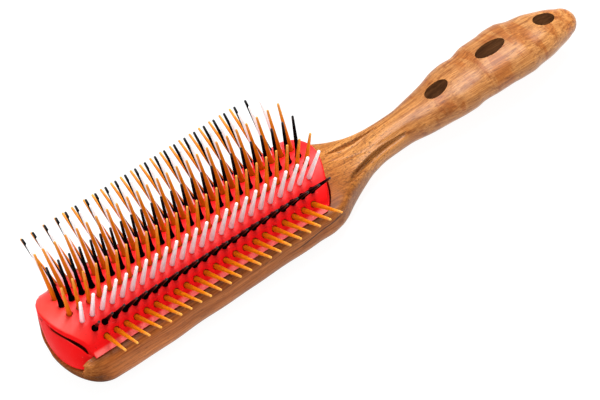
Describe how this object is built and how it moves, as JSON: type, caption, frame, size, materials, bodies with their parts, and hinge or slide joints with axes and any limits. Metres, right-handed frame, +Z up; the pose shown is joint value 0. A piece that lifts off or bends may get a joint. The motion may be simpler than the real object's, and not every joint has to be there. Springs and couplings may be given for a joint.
{
  "type": "hair styling brush",
  "caption": "Half-round hair styling brush: wooden head and handle in one piece, domed red rubber pad that slides out at the tip, and moulded nylon pin rows standing through the pad.",
  "frame": {"origin": "below the middle of the brush's length, on the plane of the flat land on the back of the head", "axes": "+X from the tip to the handle's end, +Y across the head, +Z up, the way the middle pin row points"},
  "size_m": [0.2231, 0.0672, 0.0461],
  "materials": {
    "body_wood": "satin lacquered figured wood, tan at the handle and browner at the head's rails",
    "red_rubber": "soft matt bright red rubber",
    "amber_nylon": "slightly translucent amber orange nylon",
    "black_nylon": "glossy black nylon",
    "white_nylon": "milky translucent white nylon",
    "inlay_wood": "dark brown wood, flush and lacquered with the handle"
  },
  "bodies": {
    "handle": {"wooden_body": "body_wood", "inlay_neck": "inlay_wood", "inlay_grip": "inlay_wood", "inlay_butt": "inlay_wood"},
    "pad": {"rubber_pad": "red_rubber"},
    "row_1": {"pin_row_1": "amber_nylon"},
    "row_2": {"pin_row_2": "black_nylon"},
    "row_3": {"pin_row_3": "white_nylon"},
    "row_4": {"pin_row_4": "amber_nylon"},
    "row_5": {"pin_row_5": "black_nylon"},
    "row_6": {"pin_row_6": "amber_nylon"},
    "row_7": {"pin_row_7": "white_nylon"},
    "row_8": {"pin_row_8": "black_nylon"},
    "row_9": {"pin_row_9": "amber_nylon"}
  },
  "joints": [
    {"name": "pad_slide", "type": "slide", "parent": "handle", "child": "pad", "axis": [-1, 0, 0], "range_m": [0, 0.105]},
    {"name": "row_1_rock", "type": "hinge", "parent": "pad", "child": "row_1", "pos_m": [-0.0551, -0.01507, 0.01884], "axis": [1, 0, 0], "range_deg": [-6, 6], "stiffness_Nm_per_rad": 0.05},
    {"name": "row_2_rock", "type": "hinge", "parent": "pad", "child": "row_2", "pos_m": [-0.0551, -0.01222, 0.02163], "axis": [1, 0, 0], "range_deg": [-6, 6], "stiffness_Nm_per_rad": 0.05},
    {"name": "row_3_rock", "type": "hinge", "parent": "pad", "child": "row_3", "pos_m": [-0.0551, -0.00846, 0.0238], "axis": [1, 0, 0], "range_deg": [-6, 6], "stiffness_Nm_per_rad": 0.05},
    {"name": "row_4_rock", "type": "hinge", "parent": "pad", "child": "row_4", "pos_m": [-0.0551, -0.00432, 0.02515], "axis": [1, 0, 0], "range_deg": [-6, 6], "stiffness_Nm_per_rad": 0.05},
    {"name": "row_5_rock", "type": "hinge", "parent": "pad", "child": "row_5", "pos_m": [-0.0551, 0, 0.0256], "axis": [1, 0, 0], "range_deg": [-6, 6], "stiffness_Nm_per_rad": 0.05},
    {"name": "row_6_rock", "type": "hinge", "parent": "pad", "child": "row_6", "pos_m": [-0.0551, 0.00432, 0.02515], "axis": [1, 0, 0], "range_deg": [-6, 6], "stiffness_Nm_per_rad": 0.05},
    {"name": "row_7_rock", "type": "hinge", "parent": "pad", "child": "row_7", "pos_m": [-0.0551, 0.00846, 0.0238], "axis": [1, 0, 0], "range_deg": [-6, 6], "stiffness_Nm_per_rad": 0.05},
    {"name": "row_8_rock", "type": "hinge", "parent": "pad", "child": "row_8", "pos_m": [-0.0551, 0.01222, 0.02163], "axis": [1, 0, 0], "range_deg": [-6, 6], "stiffness_Nm_per_rad": 0.05},
    {"name": "row_9_rock", "type": "hinge", "parent": "pad", "child": "row_9", "pos_m": [-0.0551, 0.01507, 0.01884], "axis": [1, 0, 0], "range_deg": [-6, 6], "stiffness_Nm_per_rad": 0.05}
  ]
}
